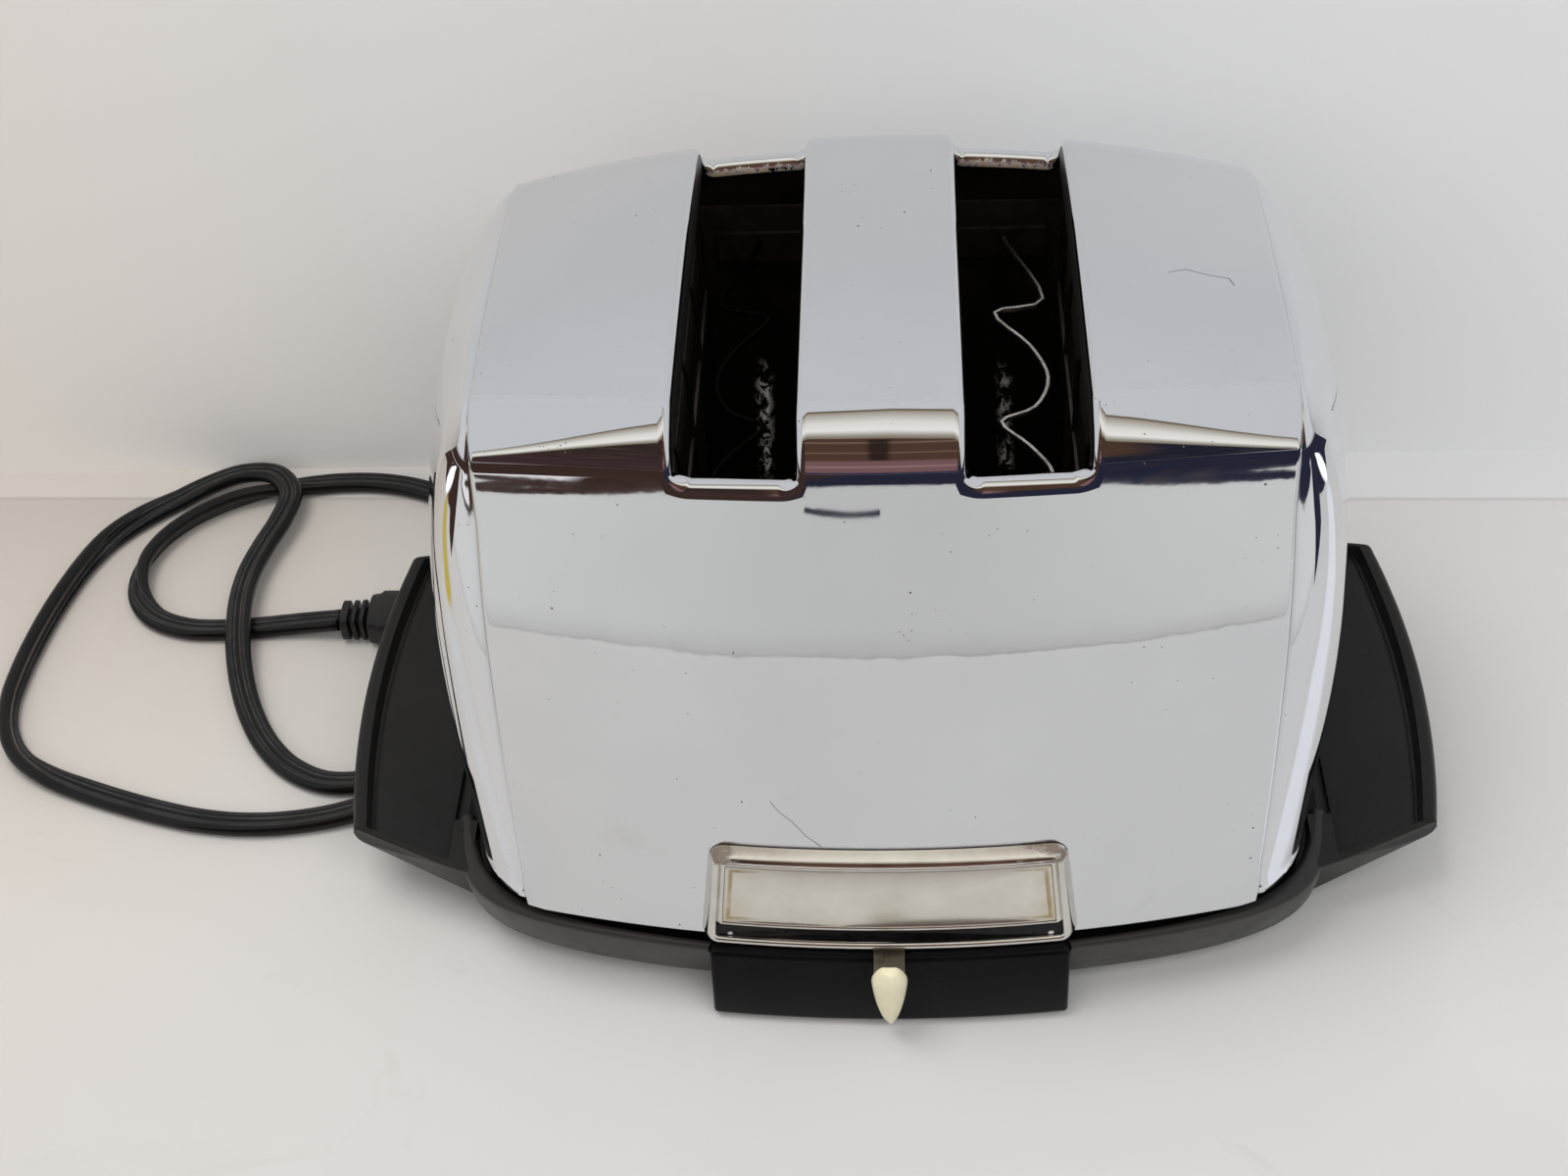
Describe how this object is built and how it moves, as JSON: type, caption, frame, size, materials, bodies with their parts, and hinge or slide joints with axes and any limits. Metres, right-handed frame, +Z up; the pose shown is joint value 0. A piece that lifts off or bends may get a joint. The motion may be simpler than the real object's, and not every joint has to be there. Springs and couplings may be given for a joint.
{
  "type": "automatic toaster",
  "caption": "Automatic toaster with side-by-side bread slots, bright wrap-over shell, dark base with handle wings, browning lever and flat cord.",
  "frame": {"origin": "on the table under the middle of the outer box of the toaster without its cord", "axes": "+X from left to right seen from the front, +Y from the front plate to the back, +Z up"},
  "size_m": [0.4495, 0.2443, 0.1853],
  "materials": {
    "chrome": "polished plate on sheet steel, light wear",
    "phenolic": "moulded phenolic, satin, dulled",
    "gloss_black": "gloss black",
    "champagne_plate": "warm satin plate",
    "ivory": "ivory moulding",
    "plated_steel": "dull plated steel",
    "dark_steel": "heat-darkened steel wire",
    "mica": "mica sheet with ribbon winding",
    "rubber": "black rubber",
    "ceramic": "unglazed",
    "brass": "brass"
  },
  "bodies": {
    "housing": {"adjusting_pin": "plated_steel", "badge_bezel": "chrome", "badge_plate": "champagne_plate", "base_moulding": "phenolic", "base_pan": "gloss_black", "base_screw_front_left": "plated_steel", "base_screw_front_right": "plated_steel", "base_screw_rear_left": "plated_steel", "base_screw_rear_right": "plated_steel", "bimetal_blade": "brass", "bottom_plate": "plated_steel", "chassis_front_plate": "plated_steel", "chassis_rear_plate": "plated_steel", "contact_blade": "plated_steel", "contact_button": "plated_steel", "control_housing": "gloss_black", "control_pivot_pin": "plated_steel", "control_spacer": "brass", "cord": "rubber", "cord_gland": "rubber", "crumb_hinge_pin": "plated_steel", "end_cover_left": "chrome", "end_cover_right": "chrome", "foot_front_left": "rubber", "foot_front_right": "rubber", "foot_rear_left": "rubber", "foot_rear_right": "rubber", "guard_wires_left_inner": "dark_steel", "guard_wires_left_outer": "dark_steel", "guard_wires_right_inner": "dark_steel", "guard_wires_right_outer": "dark_steel", "guide_rod_front": "plated_steel", "guide_rod_rear": "plated_steel", "heater_card_left_inner": "mica", "heater_card_left_outer": "mica", "heater_card_right_inner": "mica", "heater_card_right_outer": "mica", "lever_bracket": "plated_steel", "lift_pivot_pin": "plated_steel", "lift_spring": "plated_steel", "lower_tie": "plated_steel", "upper_tie": "plated_steel", "plug_body": "rubber", "plug_prong_1": "brass", "plug_prong_2": "brass", "scale_strip": "gloss_black", "shell_band": "chrome", "terminal_block": "ceramic", "thermostat_bracket": "plated_steel"},
    "carriage": {"bread_rack_left": "dark_steel", "bread_rack_right": "plated_steel", "crosshead_front": "plated_steel", "crosshead_rear": "plated_steel"},
    "lift_lever": {"lift_lever": "plated_steel"},
    "control": {"control_lever": "plated_steel", "control_knob": "ivory"},
    "adjusting_arm": {"adjusting_arm": "plated_steel"},
    "crumb_door": {"crumb_door": "plated_steel"},
    "crumb_door_catch": {"crumb_door_catch": "plated_steel"}
  },
  "joints": [
    {"name": "carriage_slide", "type": "slide", "parent": "housing", "child": "carriage", "axis": [0, 0, 1], "range_m": [-0.09, 0], "stiffness_N_per_m": 20, "springref_m": 0.15, "deforming": ["lift_spring"]},
    {"name": "lift_lever_pivot", "type": "hinge", "parent": "housing", "child": "lift_lever", "pos_m": [0, 0.0355, 0.1], "axis": [1, 0, 0], "range_deg": [0, 65]},
    {"name": "browning_lever_pivot", "type": "hinge", "parent": "housing", "child": "control", "pos_m": [0, 0.0555, 0.0262], "axis": [0, 0, 1], "range_deg": [-11.9, 11.9]},
    {"name": "adjusting_arm_pivot", "type": "hinge", "parent": "housing", "child": "adjusting_arm", "pos_m": [-0.022, 0.0455, 0.0226], "axis": [0, 0, 1], "range_deg": [-15.1, 15.1]},
    {"name": "crumb_door_hinge", "type": "hinge", "parent": "housing", "child": "crumb_door", "pos_m": [0, 0.058, 0.0057], "axis": [1, 0, 0], "range_deg": [0, 80]},
    {"name": "crumb_door_catch_slide", "type": "slide", "parent": "crumb_door", "child": "crumb_door_catch", "axis": [0, 1, 0], "range_m": [0, 0.006]}
  ],
  "couplings": [
    {"joint": "lift_lever_pivot", "follows": "carriage_slide", "rad_per_m": -12.563},
    {"joint": "adjusting_arm_pivot", "follows": "browning_lever_pivot", "ratio": 1.256}
  ]
}
